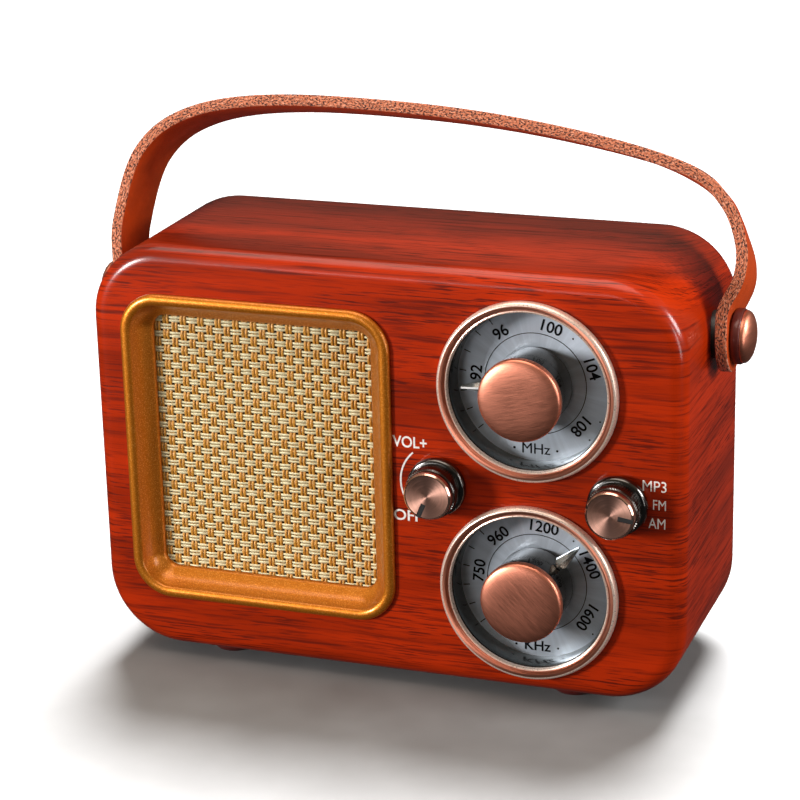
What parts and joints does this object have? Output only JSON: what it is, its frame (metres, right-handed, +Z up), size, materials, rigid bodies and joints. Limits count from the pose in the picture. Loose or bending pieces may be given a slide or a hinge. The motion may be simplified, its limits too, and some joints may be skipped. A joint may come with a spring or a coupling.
{
  "type": "tabletop radio",
  "caption": "Small tabletop radio with a wood-grain cabinet, a leather strap handle, a cloth-covered speaker, round tuning dials and a folding antenna.",
  "frame": {"origin": "on the surface that the feet stand on, under the middle of the whole radio's bounding box", "axes": "+Z up, -Y out of the front face with the dials, +X to the listener's right"},
  "size_m": [0.176, 0.079, 0.1443],
  "materials": {
    "cabinet_wood_grain": "bright red-brown wood grain printed on a moulding, clear gloss lacquer",
    "gold_frame": "satin gold paint",
    "speaker_cloth": "cream and gold basket weave",
    "copper_trim": "spun and brushed, copper coloured",
    "black_chrome": "black chrome plating",
    "silver_dial": "bright silver grey, polished",
    "strap_leather": "smooth brown faces with raw cut edges",
    "stud_washer": "dark red-brown, edge dyed",
    "black_plastic": "fine matt",
    "rubber": "soft, dark",
    "fibreboard": "raw dark fibreboard",
    "plated_steel": "zinc plated",
    "speaker_magnet": "sintered, dark grey",
    "cone_paper": "pressed paper pulp",
    "copper_wire": "enamelled winding",
    "ferrite": "sintered, dark",
    "circuit_board": "solder mask",
    "battery_wrap": "printed wrap, plain",
    "bright_chrome": "polished"
  },
  "bodies": {
    "cabinet": {"cabinet_shell": "cabinet_wood_grain", "rear_cover": "black_plastic", "cover_screw_1": "plated_steel", "cover_screw_2": "plated_steel", "cover_screw_3": "plated_steel", "cover_screw_4": "plated_steel", "foot_front_left": "rubber", "foot_front_right": "rubber", "foot_rear_left": "rubber", "foot_rear_right": "rubber", "speaker_frame": "gold_frame", "speaker_cloth": "speaker_cloth", "speaker_baffle": "fibreboard", "speaker_basket": "plated_steel", "speaker_magnet": "speaker_magnet", "fm_bezel": "copper_trim", "fm_dial_pan": "silver_dial", "fm_tuner": "black_plastic", "am_bezel": "copper_trim", "am_dial_pan": "silver_dial", "am_tuner": "black_plastic", "volume_control": "black_plastic", "band_control": "black_plastic", "left_stud": "copper_trim", "right_stud": "copper_trim", "left_stud_washer": "stud_washer", "right_stud_washer": "stud_washer", "left_stud_nut": "plated_steel", "right_stud_nut": "plated_steel", "battery": "battery_wrap", "audio_socket": "black_plastic", "charge_socket": "plated_steel", "main_board": "circuit_board", "ferrite_rod": "ferrite", "antenna_coil": "copper_wire"},
    "handle": {"handle_strap": "strap_leather"},
    "fm_knob": {"fm_knob_body": "black_chrome", "fm_knob_cap": "copper_trim", "fm_pointer": "black_chrome", "fm_tuning_shaft": "black_plastic"},
    "am_knob": {"am_knob_body": "black_chrome", "am_knob_cap": "copper_trim", "am_pointer": "black_chrome", "am_tuning_shaft": "black_plastic"},
    "volume_knob": {"volume_knob_body": "black_chrome", "volume_knob_cap": "copper_trim", "volume_shaft": "black_plastic"},
    "band_knob": {"band_knob_body": "black_chrome", "band_knob_cap": "copper_trim", "band_shaft": "black_plastic"},
    "cone": {"speaker_cone": "cone_paper", "voice_coil": "copper_wire"},
    "battery_lid": {"battery_door": "black_plastic"},
    "antenna_arm": {"antenna_knuckle": "bright_chrome", "antenna_tube_1": "bright_chrome"},
    "antenna_middle": {"antenna_tube_2": "bright_chrome"},
    "antenna_end": {"antenna_tip": "bright_chrome"},
    "previous": {"previous_button": "rubber"},
    "play": {"play_button": "rubber"},
    "next": {"next_button": "rubber"}
  },
  "joints": [
    {"name": "handle_swing", "type": "hinge", "parent": "cabinet", "child": "handle", "pos_m": [0, 0.00033, 0.0915], "axis": [1, 0, 0], "range_deg": [-80, 115]},
    {"name": "fm_tuning", "type": "hinge", "parent": "cabinet", "child": "fm_knob", "pos_m": [0.0387, -0.02967, 0.0827], "axis": [0, 1, 0], "range_deg": [-38, 226]},
    {"name": "am_tuning", "type": "hinge", "parent": "cabinet", "child": "am_knob", "pos_m": [0.0387, -0.02967, 0.0301], "axis": [0, 1, 0], "range_deg": [-175, 90]},
    {"name": "volume_turn", "type": "hinge", "parent": "cabinet", "child": "volume_knob", "pos_m": [0.0156, -0.02967, 0.0564], "axis": [0, 1, 0], "range_deg": [0, 300]},
    {"name": "band_turn", "type": "hinge", "parent": "cabinet", "child": "band_knob", "pos_m": [0.0618, -0.02967, 0.0564], "axis": [0, 1, 0], "range_deg": [-30, 30]},
    {"name": "cone_travel", "type": "slide", "parent": "cabinet", "child": "cone", "axis": [0, 1, 0], "range_m": [-0.0008, 0.0008], "stiffness_N_per_m": 800},
    {"name": "battery_door_slide", "type": "slide", "parent": "cabinet", "child": "battery_lid", "axis": [0, 0, -1], "range_m": [0, 0.008]},
    {"name": "antenna_swing", "type": "hinge", "parent": "cabinet", "child": "antenna_arm", "pos_m": [0.052, 0.03233, 0.0895], "axis": [0, 1, 0], "range_deg": [0, 180]},
    {"name": "antenna_draw_middle", "type": "slide", "parent": "antenna_arm", "child": "antenna_middle", "axis": [-1, 0, 0], "range_m": [0, 0.085]},
    {"name": "antenna_draw_end", "type": "slide", "parent": "antenna_middle", "child": "antenna_end", "axis": [-1, 0, 0], "range_m": [0, 0.085]},
    {"name": "previous_press", "type": "slide", "parent": "cabinet", "child": "previous", "axis": [0, -1, 0], "range_m": [0, 0.0008], "stiffness_N_per_m": 600},
    {"name": "play_press", "type": "slide", "parent": "cabinet", "child": "play", "axis": [0, -1, 0], "range_m": [0, 0.0008], "stiffness_N_per_m": 600},
    {"name": "next_press", "type": "slide", "parent": "cabinet", "child": "next", "axis": [0, -1, 0], "range_m": [0, 0.0008], "stiffness_N_per_m": 600}
  ]
}
